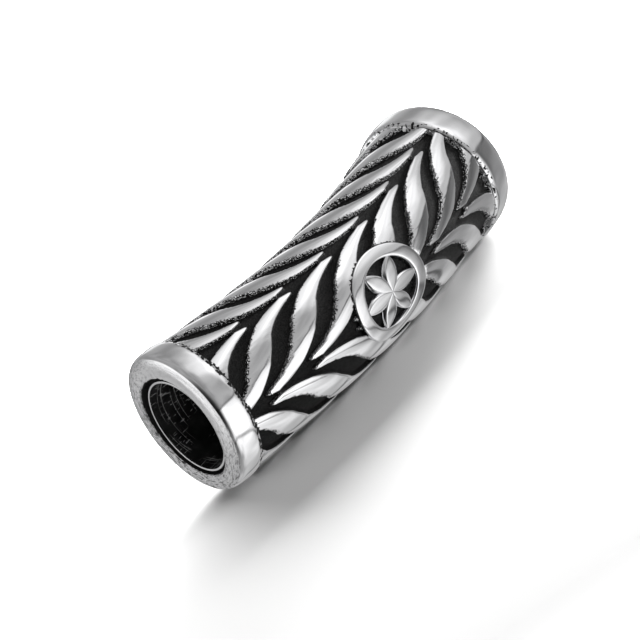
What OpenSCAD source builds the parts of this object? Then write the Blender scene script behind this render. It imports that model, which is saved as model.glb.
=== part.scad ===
// Large-hole cylinder bead for a lock of hair, a beard or a cord: a gently
// curved cast tube with two plain collars, rows of raised leaves and a round
// badge, lined with a thin bright sleeve.
// Lengths in mm. X runs along the bead, Z is up, the bead lies on its side.

/* [Overall] */
// Length of the curved middle line between the two mouth planes
axis_len = 36; // [34:0.1:40]
// Radius of the curve in the middle of the bead
bend_r = 48.3; // [46:0.1:60]
// Length of the curved stretch; the ends beyond it are straight
bend_len = 18.9; // [16:0.1:20]
// Roll about X at which the bead lies by itself, hollow side raised
rest_roll = 12.4; // [8:0.1:18]

/* [Collars] */
// Largest diameter of a collar
collar_d = 12.34; // [12.2:0.02:12.6]
// Width of a collar from the mouth plane to the relief
collar_w = 2.56; // [2.4:0.02:3]
// Diameter of the open recess inside the mouth
mouth_d = 9.14; // [9.1:0.02:9.3]
// Depth of that recess
mouth_depth = 0.95; // [0.7:0.05:1.1]

/* [Relief] */
// Diameter over the leaves at mid-length
waist_d = 11.3; // [11.2:0.02:11.4]
// Diameter over the leaves next to the collars
shoulder_d = 11.9; // [11.7:0.02:11.92]
// Height of the leaves above the sunk ground
leaf_h = 0.48; // [0.3:0.02:0.6]
// Distance from leaf to leaf along a column
leaf_pitch = 4.67; // [4.5:0.01:4.9]
// Place along the bead of the leaf nearest the middle
leaf_phase = 1.78; // [1.2:0.01:2]
// Width of the sloping side of a leaf
leaf_flank = 0.24; // [0.16:0.02:0.3]

/* [Badge] */
// Outside diameter of the ring, measured on the curved surface
badge_d = 7.6; // [7.2:0.1:8]
// Width of the ring's band
badge_band = 1.08; // [0.9:0.02:1.3]
// Height of the ring above the leaves around it
badge_rise = 0.1; // [0.05:0.01:0.2]
// Number of petals of the rosette
petal_count = 6; // [5:1:8]
// Width of one petal
petal_w = 1.1; // [0.8:0.05:1.2]

/* [Sleeve] */
// Outside diameter of the liner
sleeve_od = 8.2; // [8:0.02:8.24]
// Wall of the liner
sleeve_t = 0.2; // [0.16:0.02:0.3]
// Clearance between liner and bead all round
sleeve_gap = 0.03; // [0.02:0.01:0.05]
// How far the liner ends below the mouth plane
sleeve_inset = 0.1; // [0.05:0.05:0.4]
// How far the bore leaves the middle of the mouth toward the outer curve
bore_shift = 0.34; // [0:0.02:0.36]
// How far the bore lies to one side of the plane of the curve
bore_drop = 0.08; // [0:0.02:0.12]
// How much flatter than the bead the bore runs: its rise at mid-length
bore_rise = 0.26; // [0:0.02:0.4]

/* [Hidden] */
$fn = 96;

collar_r = collar_d / 2;
body_half = axis_len / 2 - collar_w;
// angle that each straight end makes with the X axis
end_turn = bend_len / 2 / bend_r * 180 / PI;
bore_r = sleeve_od / 2 + sleeve_gap;

// leaf outline by rows: angle from the column's middle, then where the leaf
// begins and ends along the bead, measured from the leaf's own middle
leaf_rows = [
    // angle, begin, end
    [0,  -1.40, 1.40],
    [9,  -0.50, 2.20],
    [17,  0.68, 3.43],
    [22,  1.62, 4.78],
    [25,  2.60, 5.85],
    [27,  3.55, 5.75],
];
row_last = len(leaf_rows) - 1;
groove_angle = 28.4;
side_rows = 2 * row_last + 3;
row_total = 6 * side_rows;
per_leaf = 5;
// the relief runs this far into a collar before it is drawn together there
tuck_from = 0.35;
tuck_scale = 0.08;
cap_out = 1.2;
hide_from = body_half + tuck_from;
row_reach = hide_from + leaf_rows[row_last][1] - leaf_flank / 2;
first_leaf = floor((-row_reach - leaf_phase) / leaf_pitch);
last_leaf = ceil((row_reach - leaf_phase) / leaf_pitch);
across = (last_leaf - first_leaf + 1) * per_leaf;

// signed row number, negative toward the line the leaves start from
function row_no(i) = i - row_last - 1;
function row_in_groove(n) = abs(n) > row_last;
function row_of(n) = min(abs(n), row_last);
function row_angle(n) = sign(n) * (row_in_groove(n) ? groove_angle : leaf_rows[abs(n)][0]);
function row_begin(n) = n >= 0 ? leaf_rows[row_of(n)][1] : -leaf_rows[row_of(n)][2];
function row_end(n) = n >= 0 ? leaf_rows[row_of(n)][2] : -leaf_rows[row_of(n)][1];
// every second column runs the other way round, so leaves meet in pairs
function col_row(c, i) = c % 2 == 0 ? row_no(i) : -row_no(i);
function col_angle(c, i) = 210 + 60 * c + row_angle(row_no(i));

// radius over the leaves at a place along the bead
function crown_r(s) = (waist_d + (shoulder_d - waist_d)
    * pow(min(abs(s), body_half) / body_half, 2)) / 2;
// parts past the relief are drawn together inside the collars
function tucked(s) = abs(s) <= hide_from ? s
    : sign(s) * (hide_from + (abs(s) - hide_from) * tuck_scale);
// point of the bent bead from place along, angle around and radius
function bent(s, a, r) =
    let (w = sign(s) * min(abs(s) / bend_r * 180 / PI, end_turn),
         ahead = s - sign(s) * min(abs(s), bend_len / 2),
         q = bend_r - r * cos(a))
    [q * sin(w) + ahead * cos(w), bend_r - q * cos(w) + ahead * sin(w), r * sin(a)];

function leaf_s(n, j) = let (b = row_begin(n), e = row_end(n), f = leaf_flank / 2)
    [b - f, b + f, (b + e) / 2, e - f, e + f][j];
// share of the full height across a leaf, lower in the outermost row
level_across = [0, 0.82, 1, 0.82, 0];
last_row_level = 0.8;
function leaf_level(n, j) = row_in_groove(n) ? 0
    : level_across[j] * (abs(n) == row_last ? last_row_level : 1);
// leaves stop this far inside the ring's outer edge
under_ring = 0.3;
// distance from the badge's middle, measured on the surface
function badge_off(s, a) = norm([s, (a - 180) * PI / 180 * waist_d / 2]);

function relief_point(c, i, k, j) =
    let (n = col_row(c, i),
         a = col_angle(c, i),
         s = leaf_phase + k * leaf_pitch + leaf_s(n, j),
         t = tucked(s),
         bare = badge_off(s, a) < badge_d / 2 - under_ring,
         h = bare ? 0 : leaf_h * leaf_level(n, j))
    bent(t, a, crown_r(s) - leaf_h + h);

relief_points = concat(
    [for (c = [0:5], i = [0:side_rows - 1], k = [first_leaf:last_leaf], j = [0:per_leaf - 1])
        relief_point(c, i, k, j)],
    [bent(-hide_from - cap_out, 0, 0), bent(hide_from + cap_out, 0, 0)]);
relief_faces = concat(
    [for (i = [0:row_total - 1], j = [0:across - 2])
        let (m = (i + 1) % row_total)
        [i * across + j, i * across + j + 1, m * across + j + 1]],
    [for (i = [0:row_total - 1], j = [0:across - 2])
        let (m = (i + 1) % row_total)
        [i * across + j, m * across + j + 1, m * across + j]],
    [for (i = [0:row_total - 1])
        let (m = (i + 1) % row_total)
        [i * across, m * across, row_total * across]],
    [for (i = [0:row_total - 1])
        let (m = (i + 1) % row_total)
        [m * across + across - 1, i * across + across - 1, row_total * across + 1]]);

module relief_body() {
    polyhedron(points = relief_points, faces = relief_faces, convexity = 12);
}

// outline of a collar: radius, then distance from the mouth plane
collar_outline = [
    // a narrow flat round the mouth, which falls off to a crisp rim
    [5.30, 0],
    [5.70, 0.06],
    [collar_r - 0.23, 0.19],
    // short round shoulder and a band that narrows toward the relief
    [collar_r - 0.11, 0.34],
    [collar_r - 0.03, 0.60],
    [collar_r, 0.96],
    [collar_r - 0.03, 1.50],
    [collar_r - 0.09, 2.05],
    [collar_r - 0.18, collar_w],
];

module collar_disc() {
    rotate([0, 90, 0])
        rotate_extrude()
            polygon(concat([[0, 0]], collar_outline, [[0, collar_w]]));
}

// direction of an end, -1 or 1, and the middle of its mouth
function end_axis(end) = [cos(end_turn), end * sin(end_turn), 0];
function mouth_mid(end) = bent(end * axis_len / 2, 0, 0);

// carries a part drawn with its mouth plane at X = 0 and the bead ahead of it
// to one end of the bead
module at_mouth(end) {
    translate(mouth_mid(end))
        rotate([0, 0, end * end_turn])
            mirror([end > 0 ? 1 : 0, 0, 0])
                children();
}

// the bore follows one flat arc from mouth to mouth
bore_end = mouth_mid(1) + bore_shift * [sin(end_turn), -cos(end_turn), 0];
bore_climb = bore_end[1] - bore_rise;
bore_bend_r = (pow(bore_end[0], 2) + pow(bore_climb, 2)) / (2 * bore_climb);

// piece of a ring, tube radius r, on a curve of radius curve_r
module bent_rod(curve_r, r, half_angle) {
    translate([0, curve_r, 0])
        rotate([0, 0, -90 - half_angle])
            rotate_extrude(angle = 2 * half_angle)
                translate([curve_r, 0])
                    circle(r = r);
}

badge_steps = 48;
// the ring reaches this far into the wall, and its band is this much domed
ring_root = 0.35;
ring_dome = 0.09;
ring_section = [
    // place across the band, height against the leaf tops
    [0, -leaf_h - ring_root],
    [0.06, badge_rise - ring_dome],
    [0.5, badge_rise],
    [0.94, badge_rise - ring_dome],
    [1, -leaf_h - ring_root],
];
ring_n = len(ring_section);
function badge_point(off, t, h) =
    let (s = off * cos(t), a = 180 + off * sin(t) / (waist_d / 2) * 180 / PI)
    bent(s, a, crown_r(s) + h);
badge_points = [for (i = [0:badge_steps - 1], j = [0:ring_n - 1])
    badge_point(badge_d / 2 - badge_band * (1 - ring_section[j][0]),
                i * 360 / badge_steps, ring_section[j][1])];
badge_faces = [for (i = [0:badge_steps - 1], j = [0:ring_n - 1], h = [0, 1])
    let (m = (i + 1) % badge_steps, q = (j + 1) % ring_n)
    h == 0 ? [i * ring_n + j, i * ring_n + q, m * ring_n + q]
           : [i * ring_n + j, m * ring_n + q, m * ring_n + j]];

module badge_ring() {
    polyhedron(points = badge_points, faces = badge_faces, convexity = 4);
}

// each petal is a lens that runs from the middle to just under the ring
petal_lap = 0.25;
petal_len = badge_d / 2 - badge_band + petal_lap;
petal_r = (petal_len * petal_len / 4 + petal_w * petal_w / 4) / petal_w;
// the petals are drawn as columns from well inside the wall and end just
// below the leaf tops, on a rod that follows the bead
petal_root = 3.5;
petal_sink = 0.02;
petal_rod_angle = 6;
module rosette() {
    intersection() {
        bent_rod(bend_r, waist_d / 2 - petal_sink, petal_rod_angle);
        union()
            for (i = [0:petal_count - 1])
                rotate([90, 0, 0])
                    rotate([0, 0, 90 + i * 360 / petal_count])
                        intersection_for (flank = [-1, 1])
                            translate([petal_len / 2, flank * (petal_r - petal_w / 2), petal_root])
                                cylinder(h = waist_d / 2, r = petal_r);
    }
}

// how far the bead reaches in one direction of its own axes
function reach(d) = max(concat(
    [for (p = relief_points) p * d],
    [for (p = badge_points) p * d],
    [for (end = [-1, 1], p = collar_outline)
        (mouth_mid(end) - end * p[1] * end_axis(end)) * d
            + p[0] * sqrt(1 - pow(end_axis(end) * d, 2))]));
up = [0, sin(rest_roll), cos(rest_roll)];
side = [0, cos(rest_roll), -sin(rest_roll)];
rest_z = reach(-up);
rest_y = (reach(-side) - reach(side)) / 2;

// all parts are drawn in the bead's own axes, with the curve in the XY plane,
// and then laid on the floor, middle over the origin
module laid_down() {
    translate([0, rest_y, rest_z])
        rotate([rest_roll, 0, 0])
            children();
}

// half angle of the bore's arc, long enough to pass both mouths
bore_half = 18;
past_mouth = 1;
module bore_rod(r, half_angle) {
    translate([0, bore_rise, -bore_drop])
        bent_rod(bore_bend_r, r, half_angle);
}

module bead_shell() {
    color([0.72, 0.72, 0.73])
        laid_down()
            difference() {
                union() {
                    relief_body();
                    at_mouth(-1) collar_disc();
                    at_mouth(1) collar_disc();
                    badge_ring();
                    rosette();
                }
                bore_rod(bore_r, bore_half);
                for (end = [-1, 1])
                    at_mouth(end)
                        translate([-past_mouth, 0, 0])
                            rotate([0, 90, 0])
                                cylinder(h = past_mouth + mouth_depth, d = mouth_d);
            }
}

// block that keeps what lies inside both mouths
trim_wide = 30;
trim_long = 60;
module inner_sleeve() {
    color([0.85, 0.85, 0.86])
        laid_down()
            intersection() {
                difference() {
                    bore_rod(sleeve_od / 2, bore_half);
                    bore_rod(sleeve_od / 2 - sleeve_t, bore_half + past_mouth);
                }
                // cut square to each mouth
                at_mouth(-1)
                    translate([sleeve_inset, -trim_wide / 2, -trim_wide / 2])
                        cube([trim_long, trim_wide, trim_wide]);
                at_mouth(1)
                    translate([sleeve_inset, -trim_wide / 2, -trim_wide / 2])
                        cube([trim_long, trim_wide, trim_wide]);
            }
}

bead_shell();
inner_sleeve();
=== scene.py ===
import math
import bmesh
import bpy
from mathutils import Matrix, Vector, noise


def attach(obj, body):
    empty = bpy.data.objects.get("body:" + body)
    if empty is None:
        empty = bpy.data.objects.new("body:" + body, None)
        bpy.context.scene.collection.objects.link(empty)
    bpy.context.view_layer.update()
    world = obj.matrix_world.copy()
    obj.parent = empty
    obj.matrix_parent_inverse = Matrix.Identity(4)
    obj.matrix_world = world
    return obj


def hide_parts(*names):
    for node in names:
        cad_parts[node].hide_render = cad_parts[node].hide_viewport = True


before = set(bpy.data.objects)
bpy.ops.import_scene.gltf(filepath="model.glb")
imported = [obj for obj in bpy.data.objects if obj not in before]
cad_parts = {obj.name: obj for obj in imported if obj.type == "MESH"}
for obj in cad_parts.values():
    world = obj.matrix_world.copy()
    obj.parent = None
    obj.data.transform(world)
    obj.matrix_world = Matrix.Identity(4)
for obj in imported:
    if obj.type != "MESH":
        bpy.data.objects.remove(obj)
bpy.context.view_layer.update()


# Leaf relief: the body of the bead is one steel casting, a gently curved tube
# whose wall carries six columns of raised leaves over a sunk ground. The leaf
# tops are tumbled bright, and the ground stays rough from the mould and black.
MM = 0.001
AXIS_LEN = 36.0            # along the curved middle line, mouth to mouth
BEND_R = 48.3              # curve of the middle stretch
BEND_HALF = 9.45           # half of that stretch; the ends beyond are straight
COLLAR_W = 2.56
BODY_HALF = AXIS_LEN / 2 - COLLAR_W
WAIST_R = 5.65             # over the leaves at mid-length
SHOULDER_R = 5.95          # over the leaves at the collars
LEAF_H = 0.48
LEAF_PITCH = 4.67
LEAF_PHASE = 1.78
LEAF_FLANK = 0.20          # width of a leaf's sloping side
LEAF_DOME = 0.06           # part of the height that the rounded top takes
LEAF_TIP_W = 0.3           # where a leaf is narrower than this, it sinks to the ground
RAGGED_FINE, RAGGED_COARSE = 0.16, 0.12
GROUND_GRAIN = 0.035
COLUMNS = 6
COLUMN_DEG = 360 / COLUMNS
FIRST_COLUMN = 210         # middle of the first column, in degrees round the bead
# one joint between columns, beside the badge toward the floor, is off the even
# pitch: where it is, how many degrees it is off, and how far round that is felt
OFF_JOINT, OFF_BY, OFF_SPREAD = 240, 6.0, 50
BADGE_R = 3.8              # outside of the badge's ring, in the middle of the outer side
RING_COVERS = 0.22         # how far the leaves run in under it
SOOT_W = 0.5               # how far from a joint soot stays in dots
BARE_STEEL = (0.80, 0.80, 0.81, 1)

# the bead lies on its side, rolled until its belly and both collars touch
LIE = (Matrix.Translation((0, -1.3894 * MM, 5.6499 * MM))
       @ Matrix.Rotation(math.radians(12.4), 4, "X")
       @ Matrix.Scale(MM, 4))


def on_bead(s, around, radius):
    """Place on the lying bead: s along its middle line, degrees around it, and the radius."""
    turn = max(-BEND_HALF, min(BEND_HALF, s)) / BEND_R
    ahead = s - max(-BEND_HALF, min(BEND_HALF, s))
    reach = BEND_R - radius * math.cos(math.radians(around))
    return LIE @ Vector((reach * math.sin(turn) + ahead * math.cos(turn),
                         BEND_R - reach * math.cos(turn) + ahead * math.sin(turn),
                         radius * math.sin(math.radians(around))))


def crown(s):
    """Radius over the leaf tops, a little fuller toward the collars."""
    return WAIST_R + (SHOULDER_R - WAIST_R) * (min(abs(s), BODY_HALF) / BODY_HALF) ** 2


# half of a leaf's outline: degrees from the column's middle, then where the
# leaf begins and ends along the bead; the other half is the same turned over
LEAF_EDGE = [
    (0, -1.40, 1.40), (5, -0.87, 1.87), (9, -0.50, 2.20), (13, 0.05, 2.75),
    (17, 0.68, 3.43), (20, 1.20, 4.15), (22, 1.60, 4.75), (24, 2.25, 5.50),
    (25.5, 2.80, 6.00), (27, 3.55, 5.70), (27.9, 4.55, 5.00), (30, 4.78, 4.78),
]


def leaf_span(off):
    """Where a leaf begins and ends at this many degrees off its column's middle."""
    side = abs(off)
    for (a0, b0, e0), (a1, b1, e1) in zip(LEAF_EDGE, LEAF_EDGE[1:]):
        if side <= a1:
            t = (side - a0) / (a1 - a0)
            begin, end = b0 + (b1 - b0) * t, e0 + (e1 - e0) * t
            break
    return (begin, end) if off >= 0 else (-end, -begin)


def smooth(t):
    """Rises softly from 0 to 1 as t does, and stays there."""
    t = max(0.0, min(1.0, t))
    return t * t * (3 - 2 * t)


ROWS = 60                  # rows of faces across one column of leaves
STEPS = 37                 # faces along one leaf and the ground behind it
FIRST_LEAF, LEAVES = -5, 10
CUT = BODY_HALF + 0.2      # the relief runs this far, into the collars

bm = bmesh.new()
bmesh.ops.create_grid(bm, x_segments=LEAVES * STEPS, y_segments=COLUMNS * ROWS, size=0.5)
# for the finish: how far in from a leaf's ragged edge, how near that edge on the
# ground's side of it, and how near a joint that holds soot
inward = bm.verts.layers.float.new("inward")
foot = bm.verts.layers.float.new("foot")
joint = bm.verts.layers.float.new("joint")
# faces along one leaf from its ragged side: up its slope, to the far edge of
# the top, and down to the ground
TOP_FROM, TOP_TO, GROUND_FROM = 4, 25, 29
for v in bm.verts:
    step = round((v.co.x + 0.5) * LEAVES * STEPS)
    row = round((v.co.y + 0.5) * COLUMNS * ROWS)
    leaf, step = divmod(step, STEPS)
    column, off = divmod(row, ROWS)
    off = off * COLUMN_DEG / ROWS - COLUMN_DEG / 2
    around = FIRST_COLUMN + COLUMN_DEG * column + off
    begin, end = leaf_span(off if column % 2 == 0 else -off)
    start = LEAF_PHASE + (FIRST_LEAF + leaf) * LEAF_PITCH
    flank = min(LEAF_FLANK, (end - begin) / 2)
    # one edge of each leaf is ragged, least where the leaf is narrow
    ragged = (noise.noise(Vector((around * 0.55, start, 3.1))) * RAGGED_FINE
              + noise.noise(Vector((around * 0.21, start, 7.7))) * RAGGED_COARSE
              ) * min(1, (end - begin) / 1.2)
    top, far = begin + flank / 2 + ragged, end - flank / 2
    if step <= TOP_FROM:
        t = step / TOP_FROM
        s, high = top - flank * (1 - t), smooth(t) * (1 - LEAF_DOME / LEAF_H)
    elif step <= TOP_TO:
        t = (step - TOP_FROM) / (TOP_TO - TOP_FROM)
        s = top + (far - top) * t
        high = 1 - LEAF_DOME / LEAF_H * (2 * t - 1) ** 2
    elif step <= GROUND_FROM:
        t = (step - TOP_TO) / (GROUND_FROM - TOP_TO)
        s, high = far + flank * t, (1 - smooth(t)) * (1 - LEAF_DOME / LEAF_H)
    else:
        t = (step - GROUND_FROM) / (STEPS - GROUND_FROM)
        s, high = end + flank / 2 + (LEAF_PITCH + top - flank - end - flank / 2) * t, 0
    if end - begin < LEAF_TIP_W:
        high *= (end - begin) / LEAF_TIP_W
    v[inward] = s - top
    before = top - s if step <= TOP_FROM else LEAF_PITCH + top - s
    v[foot] = 1 - before if before < 1 and (step <= TOP_FROM or step > GROUND_FROM) else 0
    s += start
    around += OFF_BY * smooth(1 - abs(around - OFF_JOINT) / OFF_SPREAD)
    # the leaves run in under the badge's ring and end there, and soot stays in
    # the joint with it, on the side toward the front mouth and the top
    sideways = math.radians(around % 360 - 180) * WAIST_R
    from_badge = math.hypot(s, sideways) - BADGE_R
    high *= smooth((from_badge + RING_COVERS) / 0.10)
    sooty_side = smooth(0.5 - (2.25 * sideways + 1.1 * s) / max(0.5, math.hypot(s, sideways)))
    v[joint] = max(0, 1 - from_badge / SOOT_W) * sooty_side if from_badge > -0.3 else 0
    v[joint] = max(v[joint], 0.92 * max(0, 1 - (s + BODY_HALF) / SOOT_W))
    v.co = (s, around, high)
for side in (-1, 1):
    bmesh.ops.bisect_plane(bm, geom=bm.verts[:] + bm.edges[:] + bm.faces[:],
                           plane_co=(side * CUT, 0, 0), plane_no=(side, 0, 0), clear_outer=True)
# the flat sheet is rolled onto the bead, with a fine unevenness on the ground
rise = bm.verts.layers.float.new("rise")
for v in bm.verts:
    s, around, high = v.co
    v[rise] = high
    grain = noise.noise(Vector((s * 5, around * 0.5, 0))) * GROUND_GRAIN * (1 - high)
    v.co = on_bead(s, around, crown(s) - LEAF_H * (1 - high) + grain)
bmesh.ops.remove_doubles(bm, verts=bm.verts, dist=0.002 * MM)


def make_piece(name, bm, material, cad_node):
    """Turns a finished mesh into a piece of the bead that stands for a CAD node."""
    mesh = bpy.data.meshes.new(name)
    bm.to_mesh(mesh)
    bm.free()
    for face in mesh.polygons:
        face.use_smooth = True
    mesh.materials.append(material)
    piece = bpy.data.objects.new(name, mesh)
    bpy.context.scene.collection.objects.link(piece)
    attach(piece, "root")
    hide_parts(cad_node)
    return piece


def new_finish(name, specular):
    """A finish with nothing on it yet, its node tree and its principled shader."""
    material = bpy.data.materials.new(name)
    material.use_nodes = True
    shader = material.node_tree.nodes["Principled BSDF"]
    shader.inputs["Specular IOR Level"].default_value = specular
    return material, material.node_tree, shader


def join(tree, links, made):
    """Joins (socket, output) pairs to a node."""
    for socket, source in links:
        tree.links.new(source, made.inputs[socket])


def node(tree, kind, links=(), **values):
    """Adds a node, sets its own values and sockets, and joins (socket, output) pairs to it."""
    made = tree.nodes.new(kind)
    for key, value in values.items():
        if hasattr(made, key):
            setattr(made, key, value)
        else:
            made.inputs[key.replace("_", " ")].default_value = value
    join(tree, links, made)
    return made


def maths(tree, operation, *terms):
    """Result of a Math node on these terms, each a number or another node's output."""
    made = node(tree, "ShaderNodeMath", operation=operation)
    for socket, term in zip(made.inputs, terms):
        if isinstance(term, float):
            socket.default_value = term
        else:
            tree.links.new(term, socket)
    return made.outputs[0]


def ramp(tree, value, low, high, to_low=0.0, to_high=1.0):
    """A value that ran from low to high, made to run from to_low to to_high."""
    return node(tree, "ShaderNodeMapRange", [("Value", value)], From_Min=low, From_Max=high,
                To_Min=to_low, To_Max=to_high).outputs[0]


def mottle(tree, place, scale, detail, roughness=0.5):
    """Soft random noise from 0 to 1, at so many patches to the metre."""
    return node(tree, "ShaderNodeTexNoise", [("Vector", place)], Scale=scale, Detail=detail,
                Roughness=roughness).outputs["Fac"]


def layer(tree, name):
    """What a float layer on the mesh's vertices holds."""
    return node(tree, "ShaderNodeAttribute", attribute_name=name).outputs["Fac"]


cast_steel, tree, shader = new_finish("blackened_relief_steel", 0.05)
place = node(tree, "ShaderNodeTexCoord").outputs["Object"]
height = layer(tree, "rise")
# bright where the leaf is high, less so in crumbs along its ragged side
speck = mottle(tree, place, 8500.0, 1.0)
high_part = ramp(tree, maths(tree, "MULTIPLY_ADD", speck, 0.30, height), 0.85, 0.91)
uncrumbed = ramp(tree, maths(tree, "MULTIPLY_ADD", speck, 1.1, layer(tree, "inward")), 0.60, 0.68)
bright = maths(tree, "MINIMUM", high_part, uncrumbed)
# soot in dots along the joints
dotted = maths(tree, "MULTIPLY_ADD", mottle(tree, place, 4200.0, 1.0), 1.2, layer(tree, "joint"))
bright = maths(tree, "MINIMUM", bright, ramp(tree, dotted, 1.36, 1.46, 1.0, 0.0))
# the slope below the ragged side catches light on loose grains of bare steel, and more
# # pale grains are painted near the top of the bead: a painted sheen where the light falls
upper = node(tree, "ShaderNodeSeparateXYZ", [("Vector", place)]).outputs["Z"]
# painted sheen: the higher on the lying bead, the more pale grains, as the light falls from above
extra_grains_where_lit = ramp(tree, upper, 0.0085, 0.0105, 0.0, 0.12)
pebble = node(tree, "ShaderNodeTexVoronoi", [("Vector", place)], Scale=8500.0)
lot = node(tree, "ShaderNodeSeparateColor", [("Color", pebble.outputs["Color"])]).outputs["Red"]
loose = maths(tree, "SUBTRACT", maths(tree, "ADD", lot, extra_grains_where_lit), pebble.outputs["Distance"])
ragged_side = ramp(tree, layer(tree, "foot"), 0.70, 0.76)
off_ground = ramp(tree, maths(tree, "MULTIPLY_ADD", speck, 0.5, height), 0.48, 0.62)
slope = maths(tree, "MULTIPLY", ragged_side, off_ground)
sparks = maths(tree, "MULTIPLY", ramp(tree, loose, 0.02, 0.14), slope)
pale = maths(tree, "MAXIMUM", bright, sparks)
# bare steel where it is pale, and black, rough ground with a grit elsewhere
grit = mottle(tree, place, 14000.0, 4.0, 0.7)
soot_tone = ramp(tree, grit, 0.38, 0.72, 0.005, 0.05)
colour = node(tree, "ShaderNodeMix", [("Factor", pale), ("A", soot_tone)], data_type="RGBA", B=BARE_STEEL)
polish = ramp(tree, mottle(tree, place, 700.0, 2.0), 0.3, 0.7, 0.05, 0.10)
rough = node(tree, "ShaderNodeMix", [("Factor", pale), ("B", polish)], data_type="FLOAT", A=0.62)
rubble = node(tree, "ShaderNodeBump", [("Height", pebble.outputs["Distance"]), ("Strength", slope)],
              Distance=0.0001)
gritty = ramp(tree, height, 0.0, 1.0, 0.5, 0.01)
bump = node(tree, "ShaderNodeBump", [("Height", grit), ("Strength", gritty),
                                     ("Normal", rubble.outputs["Normal"])], Distance=0.00008)
join(tree, [("Base Color", colour.outputs["Result"]), ("Metallic", pale),
            ("Roughness", rough.outputs["Result"]), ("Normal", bump.outputs["Normal"])], shader)

make_piece("leaf_relief", bm, cast_steel, "bead_shell")


# Collars: each end of the casting is a plain steel collar, filed and polished
# after casting. A rounded lip runs round the hole, the face falls from it to a
# crisp rim, and a recess inside the mouth clears the liner.
COLLAR_R = 6.17
COLLAR_REACH = 2.9         # how far from the mouth plane its hidden part ends
MOUTH_R = 4.57             # the recess, and how deep it is
MOUTH_DEPTH = 0.95
LIP_END = 5.1              # radius where the rounded lip is at its highest
BORE_R = 4.13
BORE_SHIFT = 0.37          # how far the bore has left the collar's middle
# outline of a collar, from the recess round to the relief: radius, then
# distance from the mouth plane
COLLAR_OUTLINE = [
    (BORE_R, COLLAR_REACH), (BORE_R, 1.00), (BORE_R + 0.05, MOUTH_DEPTH), (MOUTH_R - 0.04, MOUTH_DEPTH),
    (MOUTH_R, MOUTH_DEPTH - 0.04), (MOUTH_R, 0.34), (MOUTH_R + 0.01, 0.25), (MOUTH_R + 0.05, 0.16),
    (4.70, 0.09), (4.82, 0.04), (4.96, 0.012), (5.12, 0.0), (5.28, 0.005), (5.44, 0.025),
    (5.60, 0.06), (5.74, 0.10), (5.86, 0.145), (5.93, 0.175), (5.95, 0.19),
    (5.965, 0.22), (6.01, 0.28), (6.055, 0.36), (6.092, 0.46), (6.12, 0.58), (6.142, 0.73),
    (6.156, 0.92), (6.165, 1.15), (COLLAR_R, 1.4), (6.169, 1.65), (6.162, 1.87), (6.148, 2.05),
    (6.12, 2.21), (6.08, 2.34), (6.03, 2.44), (5.97, 2.51), (5.88, COLLAR_W), (5.2, COLLAR_W + 0.02),
    (5.0, COLLAR_REACH),
]
COLLAR_TURNS = 160
# the front lip leans over the liner, and the back collar is wider than the front
# one, give or take its skew: each most at so many degrees round the bead
LIP_LEAN, LEAN_AT = 0.40, 130
BACK_WIDER, BACK_SKEW, WIDEST_AT = 0.42, 0.20, 110
LEAST_FILED_AT = 120
BLACK_SOOT = (0.012, 0.012, 0.012, 1)

polished_steel, tree, shader = new_finish("polished_collar_steel", 0.1)
place = node(tree, "ShaderNodeTexCoord").outputs["Object"]
# soot stays in the recess and, in dots, in the joint with the leaves
sooty = maths(tree, "ADD", layer(tree, "soot"), mottle(tree, place, 3600.0, 2.0))
black = ramp(tree, sooty, 1.10, 1.18)
# the lip keeps file marks that run round it, some of them filled with black
lip = layer(tree, "filed")
round_lip = node(tree, "ShaderNodeCombineXYZ", [("X", layer(tree, "outward")),
                                                ("Y", layer(tree, "turned"))])
strokes = node(tree, "ShaderNodeMapping", [("Vector", round_lip.outputs[0])], Scale=(7.0, 0.16, 1.0),
               Rotation=(0.0, 0.0, 0.03))
marks = mottle(tree, strokes.outputs["Vector"], 1.0, 5.0, 0.7)
filled = maths(tree, "MULTIPLY", ramp(tree, marks, 0.42, 0.50, 0.85, 0.0), lip)
steel = node(tree, "ShaderNodeMix", [("Factor", maths(tree, "MAXIMUM", filled, black))],
             data_type="RGBA", A=BARE_STEEL, B=BLACK_SOOT)
polish = ramp(tree, mottle(tree, place, 600.0, 3.0), 0.3, 0.7, 0.07, 0.14)
lip_rough = maths(tree, "MULTIPLY_ADD", lip, 0.10, polish)
dents = node(tree, "ShaderNodeBump", [("Height", mottle(tree, place, 350.0, 2.0))], Strength=0.15,
             Distance=0.00008)
scores = node(tree, "ShaderNodeBump", [("Height", marks), ("Strength", maths(tree, "MULTIPLY", lip, 0.9)),
                                       ("Normal", dents.outputs["Normal"])], Distance=0.00015)
bare = ramp(tree, black, 0.0, 1.0, 1.0, 0.0)
join(tree, [("Base Color", steel.outputs["Result"]), ("Metallic", bare),
            ("Roughness", maths(tree, "MULTIPLY_ADD", black, 0.5, lip_rough)),
            ("Normal", scores.outputs["Normal"])], shader)

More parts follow.
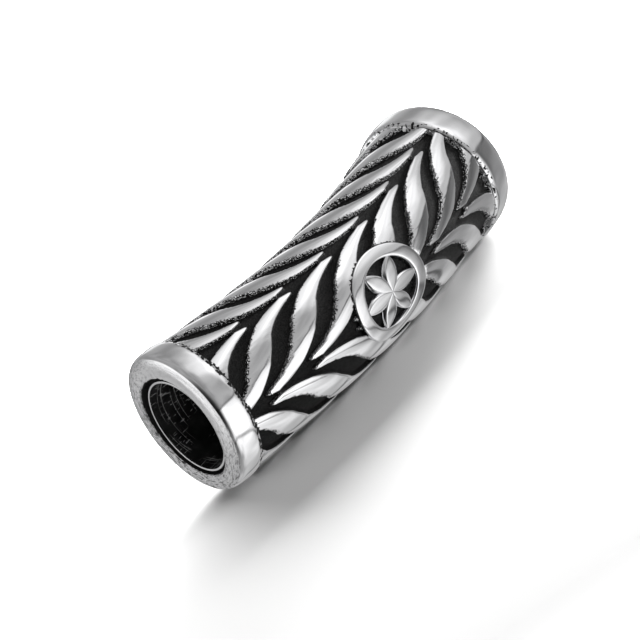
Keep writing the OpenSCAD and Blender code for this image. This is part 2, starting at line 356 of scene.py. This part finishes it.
for name, side, joint_soot in (("front_collar", -1, 0.70), ("back_collar", 1, 0.58)):
    bm = bmesh.new()
    profile = [bm.verts.new((radius, 0, depth)) for radius, depth in COLLAR_OUTLINE]
    edges = [bm.edges.new(pair) for pair in zip(profile, profile[1:] + profile[:1])]
    bmesh.ops.spin(bm, geom=profile + edges, cent=(0, 0, 0), axis=(0, 0, 1), angle=2 * math.pi,
                   steps=COLLAR_TURNS, use_merge=True)
    soot = bm.verts.layers.float.new("soot")
    filed = bm.verts.layers.float.new("filed")
    outward = bm.verts.layers.float.new("outward")
    turned = bm.verts.layers.float.new("turned")
    for v in bm.verts:
        x, y, depth = v.co
        radius = math.hypot(x, y)
        # soot fills the recess, fades over its edge, and is back at the leaves
        v[soot] = (1.0 if radius < MOUTH_R + 0.03 else
                   0.64 * smooth((MOUTH_R + 0.17 - radius) / 0.1)
                   + joint_soot * smooth((depth - 2.02) / 0.18))
        # the face round the hole is filed, most toward the floor
        v[filed] = 0
        if depth < 0.2 and radius > MOUTH_R + 0.03:
            v[filed] = 0.6 - 0.5 * math.cos(math.atan2(y, x) - math.radians(LEAST_FILED_AT))
        # the hole in the recess's floor follows the bore, off toward the badge side
        if radius < BORE_R + 0.06:
            v.co.x -= BORE_SHIFT
        around = math.degrees(math.atan2(v.co.y, v.co.x))
        reach = math.hypot(v.co.x, v.co.y)
        v[outward], v[turned] = reach, around % 360
        # only the outside grows with the width, and the mouth stays as it is
        if side > 0 and radius > 4.9:
            wider = BACK_WIDER + BACK_SKEW * math.cos(math.radians(around - WIDEST_AT))
            depth += wider * smooth((depth - 0.8) / 1.2)
        if side < 0 and depth < 0.6 and MOUTH_R - 0.01 < radius < LIP_END:
            lean = smooth((math.cos(math.radians(around - LEAN_AT)) + 0.55) / 1.1)
            reach -= LIP_LEAN * lean * min(1, (LIP_END - radius) / (LIP_END - MOUTH_R))
            depth *= 1 - 0.65 * lean
        v.co = on_bead(side * (AXIS_LEN / 2 - depth), around, reach)
    bmesh.ops.remove_doubles(bm, verts=bm.verts, dist=0.0005 * MM)
    bmesh.ops.recalc_face_normals(bm, faces=bm.faces)
    make_piece(name, bm, polished_steel, "bead_shell")


# Badge: a plain round band stands just proud of the leaves on the outer side of
# the curve, with a six-petal rosette flush inside it. Both are steel, cast with
# the body and polished, and the field between them is black like the ground.
BADGE_BAND = 1.08          # width of the band, and its height over the leaf tops
BADGE_RISE = 0.10
# section of the band: share of its width, height against the leaf tops
BAND_SECTION = [
    (1.02, -LEAF_H - 0.1), (1.0, -0.14), (0.995, -0.04), (0.985, 0.03), (0.96, 0.065), (0.92, 0.083),
    (0.86, 0.092), (0.68, 0.098), (0.5, BADGE_RISE), (0.3, 0.098), (0.16, 0.092), (0.09, 0.08),
    (0.045, 0.055), (0.02, 0.01), (0.005, -0.05), (0.0, -0.14), (-0.02, -LEAF_H - 0.1),
]


def on_badge(v):
    """Lays a vertex of the badge, drawn flat, onto the bead's outer side."""
    s, sideways, high = v.co
    return on_bead(s, 180 + math.degrees(sideways / WAIST_R), crown(s) + high)


bm = bmesh.new()
section = [bm.verts.new((BADGE_R - BADGE_BAND * (1 - share), 0, high)) for share, high in BAND_SECTION]
edges = [bm.edges.new(pair) for pair in zip(section, section[1:] + section[:1])]
bmesh.ops.spin(bm, geom=section + edges, cent=(0, 0, 0), axis=(0, 0, 1), angle=2 * math.pi,
               steps=128, use_merge=True)
for v in bm.verts:
    v.co = on_badge(v)
bmesh.ops.remove_doubles(bm, verts=bm.verts, dist=0.0005 * MM)
bmesh.ops.recalc_face_normals(bm, faces=bm.faces)
make_piece("badge_ring", bm, polished_steel, "bead_shell")

PETALS = 6
PETAL_LEN = BADGE_R - BADGE_BAND + 0.25     # its tip runs in under the band
PETAL_W = 1.36
PETAL_SINK = 0.02          # how far the rosette lies below the leaf tops
PETAL_WALL = 0.36
bm = bmesh.new()
for petal in range(PETALS):
    made = bmesh.ops.create_grid(bm, x_segments=28, y_segments=12, size=0.5)["verts"]
    for v in made:
        # a petal is pointed at both ends, its top rounds off to each side, and
        # the outermost row of faces is its wall
        along, across = v.co.x + 0.5, v.co.y * 2
        half = PETAL_W / 2 * (1 - (2 * along - 1) ** 2)
        edge_drop = 0.06 * abs(across) ** 4 + (PETAL_WALL if abs(across) > 0.99 else 0)
        v.co = (along * PETAL_LEN, across * half, -PETAL_SINK - edge_drop)
    bmesh.ops.rotate(bm, verts=made, cent=(0, 0, 0),
                     matrix=Matrix.Rotation(math.radians(petal * 360 / PETALS), 3, "Z"))
for v in bm.verts:
    v.co = on_badge(v)
make_piece("badge_rosette", bm, polished_steel, "bead_shell")


# Inner sleeve: a thin steel liner tube is pushed through the bore from mouth to
# mouth. Its inside is dark with oxide and scratched along and across, in worn
# patches, and only its two rims are bright.
SLEEVE_R = 4.1
SLEEVE_T = 0.2
SLEEVE_INSET = 0.1         # from the mouth plane to the rim
RIM_ROUND = 0.05
BORE_BEND_R = 80.98        # the bore is one arc, flatter than the bead's own
BORE_RISE = 0.26           # how far it lies off the middle line at mid-length, to the hollow side
BORE_DROP = 0.08           # and toward the floor
BORE_HALF_TURN = math.radians(14.5)     # makes the tube too long, to be cut at the mouths
END_TURN = BEND_HALF / BEND_R

rim_steel, tree, shader = new_finish("bright_rim_steel", 0.5)
place = node(tree, "ShaderNodeTexCoord").outputs["Object"]
shader.inputs["Base Color"].default_value = (0.72, 0.72, 0.73, 1)
shader.inputs["Metallic"].default_value = 1.0
wear = ramp(tree, mottle(tree, place, 1500.0, 3.0), 0.3, 0.7, 0.14, 0.30)
tree.links.new(wear, shader.inputs["Roughness"])

dark_bore, tree, shader = new_finish("scratched_dark_bore", 0.15)
shader.inputs["Metallic"].default_value = 0.0
shader.inputs["Roughness"].default_value = 0.6
place = node(tree, "ShaderNodeTexCoord").outputs["Object"]
# scratches along the bore, then across it, each with how pale it is
tones = []
for stretch, tone in (((350.0, 11000.0, 11000.0), 0.32), ((13000.0, 200.0, 200.0), 0.40)):
    drawn = node(tree, "ShaderNodeMapping", [("Vector", place)], Scale=stretch)
    tones.append(ramp(tree, mottle(tree, drawn.outputs["Vector"], 1.0, 0.0), 0.68, 0.72, 0.0, tone))
worn_there = ramp(tree, mottle(tree, place, 420.0, 0.0), 0.40, 0.56)
scratches = maths(tree, "MULTIPLY", maths(tree, "MAXIMUM", *tones), worn_there)
dull = ramp(tree, mottle(tree, place, 900.0, 4.0), 0.3, 0.8, 0.004, 0.03)
tree.links.new(maths(tree, "MAXIMUM", scratches, dull), shader.inputs["Base Color"])

bm = bmesh.new()
ring = bmesh.ops.create_circle(bm, segments=96, radius=SLEEVE_R, cap_ends=False)["verts"]
centre = Vector((0, BORE_RISE + BORE_BEND_R, -BORE_DROP))
bmesh.ops.rotate(bm, verts=ring, cent=(0, 0, 0), matrix=Matrix.Rotation(math.pi / 2, 3, "Y"))
bmesh.ops.translate(bm, verts=ring, vec=(0, BORE_RISE, -BORE_DROP))
bmesh.ops.rotate(bm, verts=ring, cent=centre, matrix=Matrix.Rotation(-BORE_HALF_TURN, 3, "Z"))
bmesh.ops.spin(bm, geom=bm.verts[:] + bm.edges[:], cent=centre, axis=(0, 0, 1),
               angle=2 * BORE_HALF_TURN, steps=72)
for side in (-1, 1):
    out = Vector((side * math.cos(END_TURN), math.sin(END_TURN), 0))
    turn = side * END_TURN
    mouth = Vector((BEND_R * math.sin(turn) + side * (AXIS_LEN / 2 - BEND_HALF) * math.cos(turn),
                    BEND_R * (1 - math.cos(turn)) + (AXIS_LEN / 2 - BEND_HALF) * math.sin(END_TURN), 0))
    bmesh.ops.bisect_plane(bm, geom=bm.verts[:] + bm.edges[:] + bm.faces[:],
                           plane_co=mouth - out * SLEEVE_INSET, plane_no=out, clear_outer=True)
bmesh.ops.remove_doubles(bm, verts=bm.verts, dist=0.001)
bmesh.ops.recalc_face_normals(bm, faces=bm.faces)
# an open tube may turn either way, so one face is looked at before the wall is made
middle = Vector((0, BORE_RISE, -BORE_DROP))
face = min(bm.faces, key=lambda f: abs(f.calc_center_median().x))
if face.normal.dot(face.calc_center_median() - middle) < 0:
    bmesh.ops.reverse_faces(bm, faces=bm.faces)
bmesh.ops.solidify(bm, geom=bm.faces[:], thickness=SLEEVE_T)
rims = [e for e in bm.edges if len(e.link_faces) == 2 and e.calc_face_angle(0) > 1.0]
bmesh.ops.bevel(bm, geom=rims, affect="EDGES", offset=RIM_ROUND, segments=3, profile=0.5, material=-1)
# the inner wall takes the second finish, the dark one
for f in bm.faces:
    point = f.calc_center_median()
    to_axis = Vector((point.x, point.y - centre.y, 0))
    inside = math.hypot(to_axis.length - BORE_BEND_R, point.z + BORE_DROP) < SLEEVE_R - SLEEVE_T + 0.03
    f.material_index = 1 if inside else 0
bmesh.ops.transform(bm, matrix=LIE, verts=bm.verts)
sleeve = make_piece("liner_tube", bm, rim_steel, "inner_sleeve")
sleeve.data.materials.append(dark_bore)


# Floor and light: the bead lies on a plain white sheet, lit low from behind and
# from the right by three soft windows. The metal reflects the room round it, and
# the sheet and the windows are left out of its reflections.
FLOOR_HALF = 1.5
bm = bmesh.new()
bmesh.ops.create_grid(bm, x_segments=1, y_segments=1, size=FLOOR_HALF)
mesh = bpy.data.meshes.new("floor")
bm.to_mesh(mesh)
bm.free()
floor = bpy.data.objects.new("floor", mesh)
bpy.context.scene.collection.objects.link(floor)
paper, tree, shader = new_finish("white_sheet", 0.0)
shader.inputs["Base Color"].default_value = (0.5, 0.5, 0.5, 1)
shader.inputs["Roughness"].default_value = 0.95
floor.data.materials.append(paper)
floor.visible_glossy = False

world = bpy.data.worlds.new("studio")
bpy.context.scene.world = world
world.use_nodes = True
tree = world.node_tree
background = tree.nodes["Background"]
direction = node(tree, "ShaderNodeTexCoord").outputs["Generated"]


def toward(azimuth, elevation):
    """Direction from the bead, in degrees counted from +X and up from the floor."""
    a, e = math.radians(azimuth), math.radians(elevation)
    return (math.cos(a) * math.cos(e), math.sin(a) * math.cos(e), math.sin(e))


def lamp(azimuth, elevation, spread, strength):
    """A soft round glow in the room: full at its middle, gone at spread degrees from it."""
    facing = node(tree, "ShaderNodeVectorMath", [(0, direction)], operation="DOT_PRODUCT")
    facing.inputs[1].default_value = toward(azimuth, elevation)
    glow = node(tree, "ShaderNodeMapRange", [("Value", facing.outputs["Value"])],
                interpolation_type="SMOOTHSTEP",
                From_Min=math.cos(math.radians(spread)), From_Max=1.0, To_Max=strength)
    return glow.outputs[0]


def room(base, *glows):
    """An even tone with soft glows on it."""
    total = base
    for glow in glows:
        total = maths(tree, "ADD", total, glow)
    return total


# above the table: a soft box high on the right with its spill, and low glows
# behind and on the left
above = room(0.37, lamp(-40, 50, 35, 0.15), lamp(-40, 30, 22, 0.55), lamp(-20, 50, 22, 0.2),
             lamp(-40, 50, 22, 0.45), lamp(0, 50, 22, 0.27), lamp(-40, 10, 55, 0.17),
             lamp(40, 10, 22, 0.15), lamp(140, 6, 42, 0.85), lamp(46, 8, 14, 0.6))
# below its edge: the bright side of the table at the front right, fainter glows
# round it, and the same low ones
below = room(0.15, lamp(-90, -28, 55, 1.35), lamp(-20, -70, 22, 0.45), lamp(20, -70, 55, 0.3),
             lamp(60, -30, 55, 0.2), lamp(0, -10, 35, 0.23), lamp(108, -12, 40, 0.24),
             lamp(140, 6, 42, 0.85), lamp(46, 8, 14, 0.6))
up = node(tree, "ShaderNodeSeparateXYZ", [("Vector", direction)]).outputs["Z"]
edge = ramp(tree, up, -0.006, 0.006)
both = node(tree, "ShaderNodeMix", [("Factor", edge), ("A", below), ("B", above)], data_type="FLOAT")
tone = both.outputs["Result"]
# two thin dark seams, at the table's edge and low on its side
for middle_z, shade in ((0.012, 0.25), (-0.731, 0.35)):
    away = maths(tree, "ABSOLUTE", maths(tree, "SUBTRACT", up, middle_z))
    tone = maths(tree, "MULTIPLY", tone, ramp(tree, away, 0.012, 0.034, shade, 1.0))
# the room is not quite even, and it stays dark behind the camera
patches = ramp(tree, mottle(tree, direction, 3.5, 1.0), 0.3, 0.7, 0.78, 1.22)
tone = maths(tree, "MULTIPLY", tone, patches)
tone = maths(tree, "MULTIPLY", tone, maths(tree, "SUBTRACT", 1.0, lamp(-152, 4, 60, 0.95)))
tree.links.new(tone, background.inputs["Strength"])
background.inputs["Color"].default_value = (1, 1, 1, 1)
bpy.context.scene.view_settings.view_transform = "Standard"


def window(name, azimuth, elevation, distance, size, watts):
    """A round soft light that faces the bead and shows neither itself nor a reflection."""
    data = bpy.data.lights.new(name, "AREA")
    data.shape = "DISK"
    data.size = size
    data.energy = watts
    light = bpy.data.objects.new(name, data)
    bpy.context.scene.collection.objects.link(light)
    light.location = Vector(toward(azimuth, elevation)) * distance
    light.rotation_euler = light.location.to_track_quat("Z", "Y").to_euler()
    light.visible_glossy = False
    light.visible_camera = False


window("far_window", 52.8, 22.55, 0.2162, 0.187, 3.4)
window("near_window", 18.3, 6.0, 0.1117, 0.0268, 1.31)
window("side_window", -21.9, 10.0, 0.0986, 0.0236, 0.187)

# the windows light the sheet only near the bead, so two spots from above keep
# it white behind them and before the camera, and neither reaches the bead
for name, place, spread, watts in (("far_spot", (0.50, 0.64, 1.0), 72, 220),
                                   ("near_spot", (-0.16, -0.22, 0.5), 43.6, 20)):
    data = bpy.data.lights.new(name, "SPOT")
    data.spot_size, data.spot_blend = math.radians(spread), 0.2
    data.energy = watts
    spot = bpy.data.objects.new(name, data)
    bpy.context.scene.collection.objects.link(spot)
    spot.location = place
    spot.visible_glossy = False
    spot.visible_camera = False


# Camera: it looks at the bead as the photo does, from before the front mouth
# and the badge, a little above the floor, and turned about its own axis. The
# picture's right and down directions were fitted to the bead's outlines.
data = bpy.data.cameras.new("camera")
data.sensor_width = 36
data.lens = 241.8
data.clip_start, data.clip_end = 0.01, 10
camera = bpy.data.objects.new("camera", data)
bpy.context.scene.collection.objects.link(camera)
right = Vector((0.56258, -0.62495, -0.54123))
down = Vector((-0.56507, 0.18720, -0.80352))
ahead = right.cross(down)
camera.matrix_world = Matrix.Translation(Vector((-202.677, -252.035, 87.174)) * MM) @ Matrix(
    (right, -down, -ahead)).transposed().to_4x4()
bpy.context.scene.camera = camera
